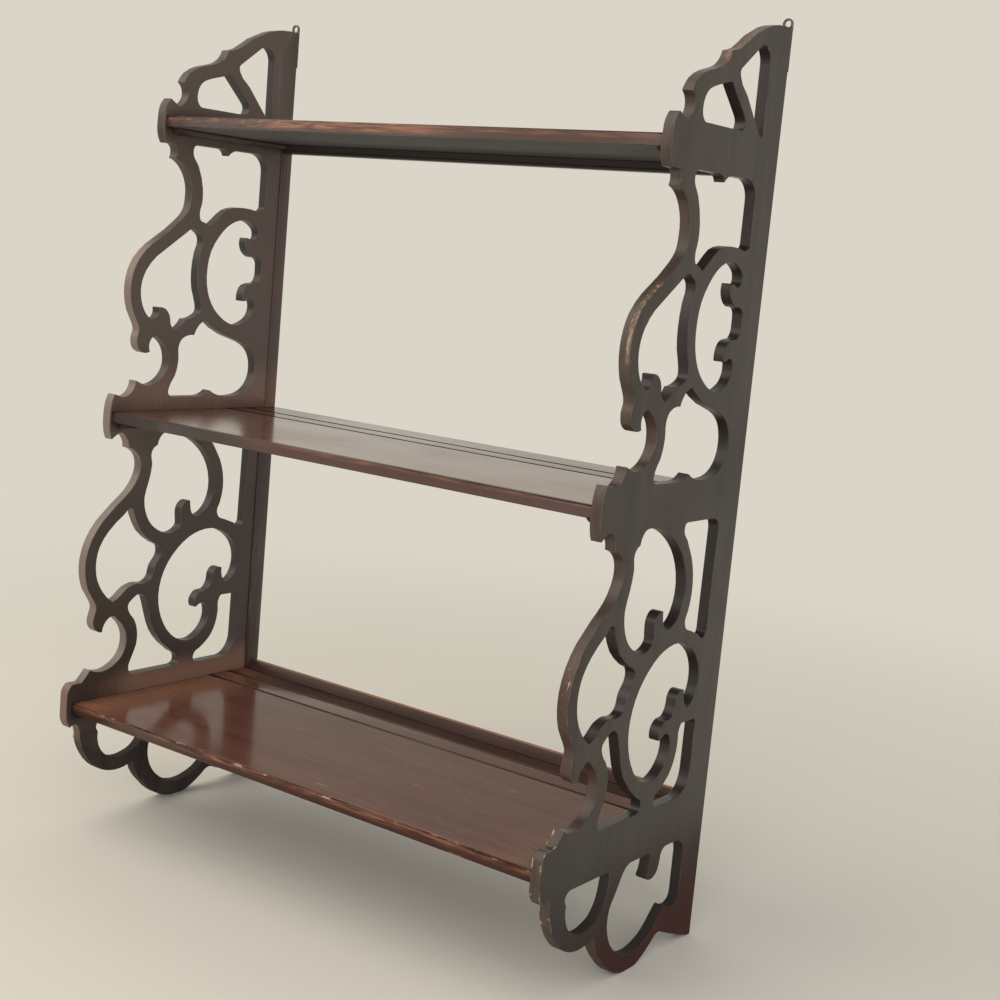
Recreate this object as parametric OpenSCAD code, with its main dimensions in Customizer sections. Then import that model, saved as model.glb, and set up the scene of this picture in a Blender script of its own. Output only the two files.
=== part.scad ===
// Hanging wall plate rack: two fret-cut mahogany sides that carry three graduated shelves.
// Millimetres. The rack faces -Y, +X is on the right of someone who faces it, +Z is up,
// and the origin lies under the middle of it, level with its feet.

/* [Overall size] */
// Width over the two fretted sides
rack_w = 556; // [440:1:700]
// Height from the feet to the back corner of the crest
rack_h = 772.5; // [760:0.5:800]
// Depth from the back edge to the front of the lowest collar
rack_d = 248; // [225:1:275]
// Thickness of the fretted sides
side_t = 10; // [8:0.5:12]

/* [Shelves] */
// Thickness of the shelves
shelf_t = 10; // [8:0.5:12]
// Height of the bottom shelf's upper face
low_level = 119.5; // [115:0.5:127]
// Height of the middle shelf's upper face
mid_level = 396; // [386:0.5:406]
// Height of the top shelf's upper face
high_level = 671.5; // [662:0.5:680]
// Distance that each shelf end is let into the side
housing = 3; // [2:0.5:5]
// Width of the grooves that hold a plate's rim
groove_w = 3; // [2:0.25:4]
// Depth of the plate grooves
groove_d = 1.5; // [1:0.25:2.5]
// Distance of the first plate groove from the back edge
groove_first = 40; // [30:1:50]
// Distance between the two plate grooves
groove_gap = 26; // [16:1:40]
// Distance from the top shelf's front edge to the front of its collar
high_setback = 2.5; // [1:0.5:8]
// Distance from the middle shelf's front edge to the front of its collar
mid_setback = 2; // [1:0.5:8]
// Distance from the bottom shelf's front edge to the front of its collar
low_setback = 6; // [2:0.5:12]
// Rounding of the shelves' front upper edge
shelf_nose = 1.5; // [0.5:0.25:3]

/* [Rails and strips] */
// Depth of the rail under the top shelf
top_rail_d = 12; // [9:0.5:15]
// Height of the rail under the top shelf
top_rail_h = 8.5; // [7:0.5:11]
// Depth of the sloped rail on the bottom shelf
low_rail_d = 17; // [14:0.5:19]
// Height of the sloped rail on the bottom shelf
low_rail_h = 6.5; // [5:0.5:9]
// Thickness of the back strips at their thick edge
strip_t = 3; // [2:0.25:4]
// Depth of the back strips in the upper bay
high_strip_d = 12.5; // [10:0.5:16]
// Depth of the back strips in the lower bay
low_strip_d = 17; // [14:0.5:19]

/* [Shelf cleats] */
// Width of the cleats under the shelf ends
cleat_w = 9.5; // [7:0.5:14]
// Height of the cleats
cleat_h = 6; // [5:0.5:8]
// Distance from a cleat's front end to the shelf's front edge
cleat_back = 7.5; // [4:0.5:20]

/* [Hanger plates and fixings] */
// Width of a hanger plate
hanger_w = 9; // [7:0.25:9.5]
// Thickness of a hanger plate
hanger_t = 2; // [1.5:0.25:3]
// Distance that a hanger plate reaches down from the crest
hanger_drop = 34; // [30:1:42]
// Outer diameter of the hanging eye
eye_d = 9; // [8.5:0.25:9.5]
// Diameter of the hole in the hanging eye
eye_hole_d = 5.6; // [4.6:0.1:6]
// Diameter of the hanger screws
screw_d = 2.8; // [2.2:0.1:3.2]
// Length of the hanger screws
screw_l = 16; // [12:1:22]
// Diameter of the panel pins
pin_d = 1.4; // [1:0.1:1.8]
// Length of the pins that hold the cleats
cleat_pin_l = 13; // [10:0.5:14]
// Length of the pins that hold the rails
rail_pin_l = 12; // [9:0.5:14]

/* [Hidden] */

// Play between a shelf end and its housing, above and at the end.
housing_play = 0.1;
// Play round a screw or pin in its hole.
hole_play = 0.05;
// Play under a countersunk screw head.
head_play = 0.05;
// Distance that a cut passes the face that it breaks through.
over = 1;

// Half the clear width between the sides.
inner_x = rack_w / 2 - side_t;
// The sides' back edge, so that the whole depth with the hanger plates is centred.
back_y = (rack_d - hanger_t) / 2;

// Colours of the wood and metal.
wood = "#3a1a10";
edge_wood = "#4c2414";
dull_metal = "#5b554c";

// The fretwork is drawn as pairs of distance forward of the back edge and height above the feet.
// A third value marks a corner, a straight run to the next point, or both.
CORNER = 1;
RUN = 2;
CORNER_RUN = 3;
// Turn between two points of a finished curve, in degrees.
curve_turn = 10;

// Levels of the drawing that stay with the shelves: the solid bands keep their height,
// and the frets between them stretch.
drawn_levels = [
    [0, 0],
    [97, low_level - 22.5], [137, low_level + 17.5],
    [374, mid_level - 22], [409, mid_level + 13],
    [649, high_level - 22.5], [684, high_level + 12.5],
    [772.5, rack_h], [800, rack_h + 27.5],
];
// Drawn fronts of the two upper collars.
drawn_high_collar = 168.5;
drawn_mid_collar = 214.5;
// Depths of the drawing: the back stile keeps its width, and the rest stretches.
drawn_depths = [[0, 0], [25, 25], [248, rack_d], [260, rack_d * 260 / 248]];

function fit_depth(u) = lookup(u, drawn_depths);
function fit_level(v) = lookup(v, drawn_levels);

// Point i of a closed outline, and the marks it carries.
function spot(line, i) =
    let (p = line[(i + len(line)) % len(line)])
    [p.x, p.y];
function mark(line, i) =
    let (p = line[(i + len(line)) % len(line)])
    len(p) > 2 ? p[2] : 0;
function is_run(line, i) = mark(line, i) >= RUN;
function is_corner(line, i) = mark(line, i) % 2 == CORNER;
function unit(v) = v / norm(v);
function angle_of(a, b) = acos(min(1, max(-1, a * b)));

// Direction of the curve at point i: along a straight run beside it,
// or else along the circle through the point and its two neighbours.
function heading(line, i) =
    let (
        before = spot(line, i) - spot(line, i - 1),
        after = spot(line, i + 1) - spot(line, i)
    )
    is_run(line, i - 1) ? unit(before) :
    is_run(line, i) ? unit(after) :
    unit(unit(before) * norm(after) + unit(after) * norm(before));

// Heading at the corner end of a span, so that the span is an arc: the other end's, mirrored.
function mirrored(t, along) = 2 * (t * along) * along - t;

// One span from p to q with headings s and t, as a cubic curve without its last point.
function span_points(p, q, s, t) =
    let (
        d = norm(q - p),
        along = (q - p) / d,
        steps = max(1, ceil((angle_of(s, along) + angle_of(along, t)) / curve_turn))
    )
    [for (k = [0:steps - 1])
        let (w = k / steps)
        p * (2 * w ^ 3 - 3 * w ^ 2 + 1) + q * (3 * w ^ 2 - 2 * w ^ 3)
        + s * d * (w ^ 3 - 2 * w ^ 2 + w) + t * d * (w ^ 3 - w ^ 2)];

// The finished outline: smooth through its plain points, broken at its corners.
function traced(line) = [
    for (i = [0:len(line) - 1])
        let (
            p = spot(line, i),
            q = spot(line, i + 1),
            along = unit(q - p),
            sharp_p = is_corner(line, i),
            sharp_q = is_corner(line, i + 1),
            s = sharp_p ? (sharp_q ? along : mirrored(heading(line, i + 1), along)) : heading(line, i),
            t = sharp_q ? (sharp_p ? along : mirrored(heading(line, i), along)) : heading(line, i + 1)
        )
        each (is_run(line, i) || (sharp_p && sharp_q)) ? [p] : span_points(p, q, s, t)
];

// A drawn outline at the rack's size, in the plane of the side.
function side_line(line) = [for (p = traced(line)) [-fit_depth(p.x), fit_level(p.y)]];

// Edge of a side, from the crest down the scrolled front to the foot.
side_edge = [
    [0, 772.5, CORNER], [22, 771.8], [42, 766.8], [62, 757.4], [80, 745.5], [86, 743.3],
    [93.5, 741.5, CORNER], [99, 732.6], [108, 727.2], [126.5, 721.8], [140, 714.5],
    [147.4, 704.4, CORNER], [142.3, 699.5], [141.3, 692.5], [145.5, 685.8], [151, 682.3], [155.3, 684.2],
    [161.8, 688, CORNER], [166.7, 681.5], [168.8, 668], [168.4, 656],
    [164.5, 647, CORNER_RUN], [156.5, 647], [152.4, 644.2], [151.2, 639.5],
    [152.8, 634.2, CORNER], [143.3, 630], [134.5, 620.3], [130.3, 610], [129.8, 599], [132.5, 586.7],
    [140, 578.3], [153.5, 567.5], [175, 553.3], [190, 538.3], [197, 521], [198, 506.5], [194, 490],
    [186.7, 477.5], [185.3, 473.3], [187.2, 464.5], [185.4, 455.8], [179.2, 451.3],
    [170.2, 451.9, CORNER], [171.5, 459], [168.5, 465], [163.5, 467], [158.5, 464.2], [151.5, 458.2],
    [147.2, 448.5], [147.6, 437], [153.5, 428], [162.5, 422.2], [173, 420.3], [179, 422.2],
    [185.8, 424.9, CORNER], [188, 416.7], [194, 410.8], [201, 409.5, CORNER], [205, 410.8],
    [210.2, 412.2, CORNER], [213.5, 403.5], [214.7, 391], [213.7, 377], [210.8, 369.4, CORNER],
    [206, 372.8], [199, 375.5], [193.6, 371], [190.3, 365.5],
    [190, 360.8, CORNER], [181.7, 357.5], [175.8, 351.5], [173.7, 342], [176.5, 331.3], [185, 319],
    [200, 306.7], [216.7, 291.7], [228.3, 275], [234, 257], [234.2, 243], [230, 228], [222.5, 216.7],
    [218.9, 209.5], [220.6, 201.5], [221.8, 194.5], [218, 187.2],
    [210, 183.8, CORNER], [207, 192.8], [202.7, 196.8], [197.5, 198.5], [191.8, 194], [185.5, 188],
    [180.8, 179], [180.2, 168], [185, 156.7], [194, 149.4], [205, 145.5], [214, 146],
    [222.3, 148.7, CORNER], [226.5, 143.3], [231.7, 137.9, CORNER_RUN],
    [241.3, 137.9], [246, 134.3], [248, 124, RUN], [248, 108], [246.5, 101],
    [242.5, 95.5, CORNER], [235.5, 97.5], [231.7, 92],
    [231, 83, CORNER], [228, 74.5], [222.5, 64.5], [212.5, 53], [198, 44.7], [180, 42.3],
    [163, 47, CORNER], [160, 36.5], [152, 25.5], [142, 15.3], [131, 7], [119, 1.8],
    [109, 0, RUN], [96, 0], [87, 2.3], [78, 7], [69, 13], [62, 18], [57, 18.8], [50, 16.3],
    [35, 10.6], [20, 5], [4, 0, CORNER_RUN], [0, 0, CORNER],
];

// The openings of a side, from the crest down.
crest_triangle = [
    [73, 732.5, RUN], [50, 749.5], [43.5, 753], [35.5, 750], [30.5, 740, RUN], [30, 686],
    [31.5, 680, CORNER], [43, 691], [61.7, 710.8], [75.8, 723.3], [77.2, 728],
];
crest_wedge = [
    [89, 718.5, CORNER], [83.3, 713.3, RUN], [66, 697.5], [61.7, 691], [66, 684.3, RUN], [122, 684.3],
    [127.3, 687.5], [128.8, 698], [124.5, 706.3], [111.7, 712.6], [98, 716.5],
];
high_plateau = [
    [122, 648.8, RUN], [92, 648.8], [84.7, 642.5, CORNER], [76, 648.2], [70, 648.8, RUN],
    [48, 648.8], [38.5, 646], [33, 640.5], [30.8, 632, RUN], [30.8, 598], [35.5, 593.4],
    [50, 594.4], [68, 594.6], [82, 591], [95, 580.8], [104, 573.7, CORNER], [109, 576.6],
    [116, 579.3], [117.6, 585], [115.2, 596], [115.5, 609], [122.5, 629.2], [130.2, 641.5], [129, 646.8],
];
high_leaf = [
    [124, 570.5], [134, 565.2], [150, 554.2], [168.3, 541.7], [180, 528.5], [185.2, 514], [184, 500],
    [177.5, 487.7], [169.5, 482.3, CORNER], [164.3, 484.8], [162, 489.5],
    [162.6, 493.9, CORNER], [153.5, 492.8], [148.2, 486.5], [146, 477.8],
    [140.5, 472.5, CORNER], [133.5, 476.7], [127.5, 483.7, CORNER], [117, 486], [109, 492],
    [109.5, 499], [114.5, 512.5], [116.2, 529], [114, 548], [110.8, 559.2], [111.9, 563.3], [117, 567.7],
];
high_hooks = [
    [56.7, 582.7], [68.5, 581], [80, 575], [91, 564], [99.8, 550], [103.3, 534], [102.7, 518],
    [98.5, 505], [91, 494.2], [81.5, 486.5], [71.5, 481.3], [60, 479.2], [50, 482], [41, 487.8],
    [37.5, 496.5], [39, 503], [44, 505.8], [49.5, 503.5], [53.6, 503.2, CORNER], [53.8, 510],
    [49, 518.7], [41.5, 521.2], [34.5, 522.3], [31, 527], [30.3, 535], [32.2, 544.5],
    [37, 547.2], [43.5, 547.3], [50.2, 551], [54.5, 559], [53.6, 566, CORNER], [49, 565.2],
    [44, 563.2], [38.7, 566.6], [38.3, 572.5], [46, 579.6],
];
high_heel = [
    [100.5, 483, CORNER], [89, 475.3], [75, 469], [58.3, 464.2], [45, 459.3], [35.5, 451.5],
    [31, 440.5], [31.5, 428], [37.5, 417.3], [48, 410.6], [60, 408.3], [72, 408.2], [83, 410.5],
    [90.8, 414.4, CORNER], [98, 410.3], [106, 408.7, RUN], [138, 408.7], [144.2, 411.8],
    [143.3, 419], [137, 429.5], [133.8, 444], [134.5, 457], [131.8, 463.2], [125, 467.4],
    [115.4, 468.4, CORNER], [112, 475.3], [107, 480.3],
];
low_kidney = [
    [141, 374.2], [130, 373.2], [116.5, 369.3], [102.5, 362], [90, 351.7], [80.5, 338], [76, 323],
    [77, 308], [83.5, 295.5], [92, 289.4], [99, 288.2], [104.5, 292.3], [106.9, 300],
    [107.3, 304.6, CORNER], [113.3, 303.5], [118.3, 297], [118.5, 288.5], [118, 280.8], [124, 275.3],
    [132, 273.5], [145, 277], [156.7, 285], [164.5, 298], [166.6, 312], [162.5, 326.7],
    [159.4, 343], [160.6, 355.5], [158, 359.6], [153.7, 361.8, CORNER], [151.5, 368.5], [147.5, 372.8],
];
low_sail = [
    [80, 374.3, RUN], [42, 374.3], [34, 371.5], [31, 363, RUN], [32, 279], [36.5, 273],
    [46, 277.3], [58.3, 281.7], [67.5, 285.3], [70, 291], [66.7, 300], [63.8, 314], [65.2, 330],
    [70.5, 344.5], [80, 359], [87, 368], [85.8, 373],
];
low_shield = [
    [181.5, 302], [192, 295.4], [208.3, 281.7], [218, 267.8], [221.5, 251], [219, 236], [211.5, 223.3],
    [199, 212.3, CORNER], [191.5, 216.3], [183.3, 223.2], [171.5, 227], [158.5, 226.8], [153.3, 229.7],
    [149, 242], [141.2, 254.5], [142, 260.2], [152, 266], [168.3, 278.3], [177.5, 294],
];
low_scroll = [
    [76, 273.8], [92, 272.4], [106, 267.4], [120, 257.5], [132, 244], [139.5, 228], [141.8, 211.7],
    [139.5, 197], [133, 182.5], [122, 169.5], [110, 162.8], [97, 160.8], [86, 165], [77, 173.7],
    [73.3, 185.5], [76, 194.5], [81.5, 198], [86.3, 196.6], [91.7, 193.6, CORNER], [93, 201],
    [87.5, 208.5], [75.5, 211.4], [71.5, 217.5], [69.7, 227.3], [65, 231.9],
    [58.3, 231.3, CORNER], [57.3, 222.5], [52, 215.8], [44.5, 219], [38, 229.5], [37.3, 243.5],
    [44, 257.5], [56.7, 267.5],
];
low_boot = [
    [164.5, 216.4], [174, 212.7], [179.7, 206.3], [178, 200], [171, 191.5], [166.6, 180], [167, 165.5],
    [173, 151.8], [175.2, 144], [170.5, 137, RUN], [118.5, 137], [111.5, 140], [111.6, 146.3],
    [120, 152.2], [133, 162.5], [144.5, 176], [151.8, 193.5], [156.3, 207], [159.5, 213.5],
];
low_heel = [
    [60, 197.5], [56, 202.5, RUN], [37, 202.5], [33.8, 199, RUN], [34.1, 158], [37.5, 145.5],
    [44.5, 138.6], [53, 136.5, RUN], [84, 136.5], [90.5, 140.2], [89.6, 145.5], [81.7, 150.8],
    [70, 159.8], [62.5, 173], [60, 186],
];
apron_moon = [
    [202, 97.3, RUN], [152, 97.3], [148.5, 94], [148.5, 84], [152.3, 70.5], [160, 61], [170, 56.7],
    [180, 55], [190, 56.5], [200, 62.3], [207, 72.5], [208.5, 86.3, CORNER], [211, 91.5], [208.5, 95.8],
];
apron_scroll = [
    [88, 96.5, CORNER_RUN], [116, 96.5], [124, 93.3], [130, 85.5], [136, 75], [141.7, 66.5],
    [144, 55.5], [142, 43], [136.5, 32.5], [126, 22.5], [112, 15.6], [99, 14], [86, 16.4], [75, 20.8],
    [66, 27.7], [58, 35.6], [52, 41, CORNER], [45, 37.8], [36.5, 37.2], [31, 40.6], [29.2, 48, RUN],
    [29.2, 82], [31.2, 89], [37, 94.4], [47, 96.5, RUN], [61, 96.5], [67, 93], [69, 84], [72, 76.5],
    [77.5, 72.9], [84, 72.6], [90.3, 76.3, CORNER], [86.8, 83.5], [86, 90],
];
openings = [
    crest_triangle, crest_wedge, high_plateau, high_leaf, high_hooks, high_heel,
    low_kidney, low_sail, low_shield, low_scroll, low_boot, low_heel, apron_moon, apron_scroll,
];

// Front edges of the shelves, set this far behind the collars of the sides.
high_front = fit_depth(drawn_high_collar) - high_setback;
mid_front = fit_depth(drawn_mid_collar) - mid_setback;
low_front = rack_d - low_setback;
shelves = [[high_level, high_front], [mid_level, mid_front], [low_level, low_front]];

// Upper and lower ends of the back strips.
high_rail_foot = high_level - shelf_t - top_rail_h;
mid_under = mid_level - shelf_t;

// Each cleat row: the shelf's underside, the cleats' back end and their front end.
cleat_rows = [
    [high_level - shelf_t, max(top_rail_d, high_strip_d), high_front - cleat_back],
    [mid_level - shelf_t, low_strip_d, mid_front - cleat_back],
    [low_level - shelf_t, 4, low_front - cleat_back],
];
// Height of the cleats' upright inner face, below which they slope to the side.
cleat_lip = cleat_h / 3;
// Pins of a cleat lie in its upright part, this far below the shelf.
cleat_pin_z = cleat_lip / 2 + 0.3;
cleat_pin_sink = 0.6;
cleat_pin_shares = [0.15, 0.5, 0.85];

// Pins of the rails: their depth behind the front, and where they stand along the rail.
rail_pin_u = 6;
rail_pin_sink = 0.8;
rail_pin_shares = [-0.42, -0.14, 0.14, 0.42];

// Hanger plates: middle of the side's edge, the eye just above the crest, and the screw heights.
hanger_x = inner_x + side_t / 2;
eye_z = rack_h + eye_hole_d / 2 + 1;
screw_heights = [rack_h - hanger_drop * 5 / 17, rack_h - hanger_drop * 13 / 17];
screw_head_d = screw_d * 1.9;
screw_head_h = hanger_t * 0.75;

// Turns a drawing of depth and height upright, pushed out along +X by t from x = 0.
module upright(t) {
    translate([0, back_y, 0])
        rotate([90, 0, 90])
            linear_extrude(t) children();
}

// A block that runs along X from x0 to x1, between two depths and two heights.
module block(x0, x1, u0, u1, z0, z1) {
    translate([x0, back_y - u1, z0]) cube([x1 - x0, u1 - u0, z1 - z0]);
}

// A rod along X, Y or Z with its near end at p.
module rod_x(p, d, l) { translate(p) rotate([0, 90, 0]) cylinder(d = d, h = l, $fn = 24); }
module rod_y(p, d, l) { translate(p) rotate([-90, 0, 0]) cylinder(d = d, h = l, $fn = 24); }
module rod_z(p, d, l) { translate(p) cylinder(d = d, h = l, $fn = 24); }

// Places of the pins in the cleats of one side: x is where each pin's head lies.
module at_cleat_pins() {
    for (row = cleat_rows)
        for (share = cleat_pin_shares)
            translate([
                inner_x - cleat_w + cleat_pin_sink,
                back_y - row[1] - share * (row[2] - row[1]),
                row[0] - cleat_pin_z,
            ]) children();
}

// The right-hand side: the fretted board with its housings and fixing holes.
module side_board() {
    color(wood) difference() {
        translate([inner_x, 0, 0]) upright(side_t) difference() {
            polygon(side_line(side_edge));
            for (line = openings) polygon(side_line(line));
        }
        for (s = shelves)
            block(inner_x - over, inner_x + housing, -over, s[1] + housing_play,
                s[0] - shelf_t, s[0] + housing_play);
        at_cleat_pins() rod_x([0, 0, 0], pin_d + 2 * hole_play, cleat_pin_l + hole_play);
        for (z = screw_heights)
            rod_y([hanger_x, back_y - screw_l, z], screw_d + 2 * hole_play, screw_l + over);
    }
}
module right_side() { side_board(); }
module left_side() { mirror([1, 0, 0]) side_board(); }

// Section of a shelf: square at the back, grooved for plates, with a softened front edge.
function shelf_section(level, front) =
    let (
        first = groove_first,
        second = groove_first + groove_gap,
        half = groove_w / 2,
        grooves = [for (g = [first, second]) each
            [[g - half, level], [g - 0.4, level - groove_d], [g + 0.4, level - groove_d], [g + half, level]]],
        nose = [for (a = [0:15:90])
            [front - shelf_nose + shelf_nose * sin(a), level - shelf_nose + shelf_nose * cos(a)]]
    )
    concat([[0, level - shelf_t], [0, level]], grooves, nose, [[front, level - shelf_t + 0.5],
        [front - 0.5, level - shelf_t]]);

// A shelf board, let into the sides at both ends.
module shelf(level, front) {
    reach = inner_x + housing - housing_play;
    translate([-reach, 0, 0]) upright(2 * reach)
        polygon([for (p = shelf_section(level, front)) [-p.x, p.y]]);
}
// Holes for the pins that hold a rail to a shelf, from z upwards.
module rail_pin_holes(z, l) {
    for (share = rail_pin_shares)
        rod_z([share * 2 * inner_x, back_y - rail_pin_u, z], pin_d + 2 * hole_play, l);
}
module top_shelf() {
    color(edge_wood) difference() {
        shelf(high_level, high_front);
        rail_pin_holes(high_level - shelf_t - over,
            rail_pin_l - top_rail_h + rail_pin_sink + over + hole_play);
    }
}
module middle_shelf() { color(edge_wood) shelf(mid_level, mid_front); }
module bottom_shelf() {
    color(edge_wood) difference() {
        shelf(low_level, low_front);
        rail_pin_holes(low_level + low_rail_h - rail_pin_sink - rail_pin_l - hole_play,
            2 * rail_pin_l);
    }
}

// Rail under the top shelf at the back, with a bead along its lower front edge.
module top_back_rail() {
    foot = high_rail_foot;
    bead = 1.5;
    bead_line = [for (a = [90:-20:-90]) [top_rail_d - 0.8 + bead * cos(a) * 0.53, foot + bead + bead * sin(a)]];
    section = concat([[0, foot], [0, foot + top_rail_h], [top_rail_d - 0.8, foot + top_rail_h]], bead_line);
    color(wood) difference() {
        translate([-inner_x, 0, 0]) upright(2 * inner_x) polygon([for (p = section) [-p.x, p.y]]);
        rail_pin_holes(foot - over, top_rail_h + 2 * over);
    }
}

// Section of the sloped rail, which the lower strips are scribed over.
low_rail_section = [
    [0, low_level], [low_rail_d, low_level], [low_rail_d, low_level + 1],
    [low_rail_d * 0.7, low_level + low_rail_h * 0.72], [low_rail_d * 0.3, low_level + low_rail_h * 0.96],
    [0, low_level + low_rail_h],
];
module low_rail_body(x0, x1) {
    translate([x0, 0, 0]) upright(x1 - x0) polygon([for (p = low_rail_section) [-p.x, p.y]]);
}
module bottom_back_rail() {
    color(wood) difference() {
        low_rail_body(-inner_x, inner_x);
        rail_pin_holes(low_level - over, low_rail_h + 2 * over);
    }
}

// Back strip of the right-hand side: flat on the side, slightly rounded towards the shelf.
module strip(depth, z0, z1) {
    x = inner_x;
    y = back_y;
    translate([0, 0, z0]) linear_extrude(z1 - z0)
        polygon([
            [x, y], [x - strip_t * 0.85, y], [x - strip_t, y - depth * 0.2],
            [x - strip_t, y - depth * 0.5], [x - strip_t * 0.8, y - depth * 0.78],
            [x - strip_t * 0.4, y - depth], [x, y - depth],
        ]);
}
module upper_strip() { color(wood) strip(high_strip_d, mid_level, high_rail_foot); }
module lower_strip() {
    color(wood) difference() {
        strip(low_strip_d, low_level, mid_under);
        low_rail_body(inner_x - 2 * strip_t, inner_x + over);
    }
}
module upper_right_strip() { upper_strip(); }
module upper_left_strip() { mirror([1, 0, 0]) upper_strip(); }
module lower_right_strip() { lower_strip(); }
module lower_left_strip() { mirror([1, 0, 0]) lower_strip(); }

// Cleat under the right end of the shelf of one row.
module cleat(row) {
    top = row[0];
    x = inner_x;
    color(wood) difference() {
        translate([0, back_y - row[1], 0]) rotate([90, 0, 0]) linear_extrude(row[2] - row[1])
            polygon([
                [x, top], [x - cleat_w, top], [x - cleat_w, top - cleat_lip],
                [x - cleat_w * 0.72, top - cleat_h * 0.68], [x - cleat_w * 0.3, top - cleat_h], [x, top - cleat_h],
            ]);
        at_cleat_pins() rod_x([-cleat_w, 0, 0], pin_d + 2 * hole_play, 3 * cleat_w);
    }
}
module top_right_cleat() { cleat(cleat_rows[0]); }
module top_left_cleat() { mirror([1, 0, 0]) cleat(cleat_rows[0]); }
module middle_right_cleat() { cleat(cleat_rows[1]); }
module middle_left_cleat() { mirror([1, 0, 0]) cleat(cleat_rows[1]); }
module bottom_right_cleat() { cleat(cleat_rows[2]); }
module bottom_left_cleat() { mirror([1, 0, 0]) cleat(cleat_rows[2]); }

// Hanger plate on the back edge of the right side, ending in a flat eye above the crest.
module hanger() {
    color(dull_metal) translate([0, back_y, 0]) difference() {
        union() {
            translate([hanger_x - hanger_w / 2, 0, rack_h - hanger_drop])
                cube([hanger_w, hanger_t, eye_z - rack_h + hanger_drop]);
            rod_y([hanger_x, 0, eye_z], eye_d, hanger_t);
        }
        translate([hanger_x, -over, eye_z]) rotate([-90, 0, 0])
            cylinder(d = eye_hole_d, h = hanger_t + 2 * over, $fn = 32);
        for (z = screw_heights) {
            rod_y([hanger_x, -over, z], screw_d + 2 * hole_play, hanger_t + 2 * over);
            translate([hanger_x, hanger_t - screw_head_h - head_play, z]) rotate([-90, 0, 0])
                cylinder(d1 = screw_d, d2 = screw_head_d + 0.2, h = screw_head_h + head_play + 0.01, $fn = 24);
        }
    }
}
module right_hanger() { hanger(); }
module left_hanger() { mirror([1, 0, 0]) hanger(); }

// Countersunk screws of the hanger plates.
module screw() {
    rotate([-90, 0, 0]) {
        translate([0, 0, -screw_l + 0.5]) cylinder(d = screw_d, h = screw_l + hanger_t - screw_head_h, $fn = 24);
        translate([0, 0, hanger_t - screw_head_h])
            cylinder(d1 = screw_d - 0.1, d2 = screw_head_d, h = screw_head_h, $fn = 24);
    }
}
module hanger_screws() {
    color(dull_metal) for (side = [-1, 1])
        for (z = screw_heights)
            translate([side * hanger_x, back_y, z]) screw();
}

// Panel pins through the cleats into the sides.
module cleat_pins() {
    color(dull_metal) for (m = [0, 1])
        mirror([m, 0, 0]) at_cleat_pins() rod_x([0, 0, 0], pin_d, cleat_pin_l);
}

// Panel pins through the rails into the top and bottom shelves.
module rail_pins() {
    color(dull_metal) for (share = rail_pin_shares) {
        x = share * 2 * inner_x;
        y = back_y - rail_pin_u;
        rod_z([x, y, high_rail_foot + rail_pin_sink], pin_d, rail_pin_l);
        rod_z([x, y, low_level + low_rail_h - rail_pin_sink - rail_pin_l], pin_d, rail_pin_l);
    }
}

left_side();
right_side();
top_shelf();
middle_shelf();
bottom_shelf();
top_back_rail();
bottom_back_rail();
upper_left_strip();
upper_right_strip();
lower_left_strip();
lower_right_strip();
top_left_cleat();
top_right_cleat();
middle_left_cleat();
middle_right_cleat();
bottom_left_cleat();
bottom_right_cleat();
left_hanger();
right_hanger();
hanger_screws();
cleat_pins();
rail_pins();
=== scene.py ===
"""Hanging plate rack in dark mahogany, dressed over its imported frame.

Two fretted sides, three graduated shelves with plate grooves, rails, strips and cleats,
two hanger plates with eyes, and the screws and pins that hold it all together.
Metres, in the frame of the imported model: the rack faces -Y and stands on Z = 0.
"""

import math

import bmesh
import bpy
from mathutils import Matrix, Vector
from mathutils.geometry import delaunay_2d_cdt


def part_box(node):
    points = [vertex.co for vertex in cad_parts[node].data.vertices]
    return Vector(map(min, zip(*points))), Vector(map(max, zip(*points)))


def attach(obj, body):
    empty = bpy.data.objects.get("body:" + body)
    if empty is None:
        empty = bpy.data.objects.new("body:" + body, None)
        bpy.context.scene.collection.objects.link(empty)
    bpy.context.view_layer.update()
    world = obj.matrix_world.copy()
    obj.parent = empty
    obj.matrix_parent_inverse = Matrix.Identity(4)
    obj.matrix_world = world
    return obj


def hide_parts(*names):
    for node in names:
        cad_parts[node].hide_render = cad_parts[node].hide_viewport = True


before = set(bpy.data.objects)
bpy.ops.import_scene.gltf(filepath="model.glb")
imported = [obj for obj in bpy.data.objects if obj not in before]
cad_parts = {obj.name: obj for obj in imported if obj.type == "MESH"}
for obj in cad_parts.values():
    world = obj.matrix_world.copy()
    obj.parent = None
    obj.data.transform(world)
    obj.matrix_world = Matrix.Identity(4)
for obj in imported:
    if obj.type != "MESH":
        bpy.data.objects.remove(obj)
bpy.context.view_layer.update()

MM = 0.001


# Small helpers.

def linear(hex_colour):
    """An sRGB hex colour as the linear RGBA that a shader takes."""
    parts = [int(hex_colour[i:i + 2], 16) / 255 for i in (1, 3, 5)]
    return [c / 12.92 if c <= 0.04045 else ((c + 0.055) / 1.055) ** 2.4 for c in parts] + [1.0]


def add(tree, kind, inputs=None, **settings):
    """Adds a node, its inputs given as values or other nodes' outputs; a node means its first output."""
    node = tree.nodes.new(kind)
    for name, value in settings.items():
        setattr(node, name, value)
    for key, value in (inputs or {}).items():
        socket = node.inputs[key]
        if isinstance(value, bpy.types.Node):
            value = next(o for o in value.outputs if o.enabled)
        if isinstance(value, bpy.types.NodeSocket):
            tree.links.new(value, socket)
        else:
            socket.default_value = value
    return node


def new_material(name):
    """An empty material and its node tree, ready for a finish."""
    material = bpy.data.materials.new(name)
    material.use_nodes = True
    material.node_tree.nodes.clear()
    return material, material.node_tree


# Patterns in the wood and metal.

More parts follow.
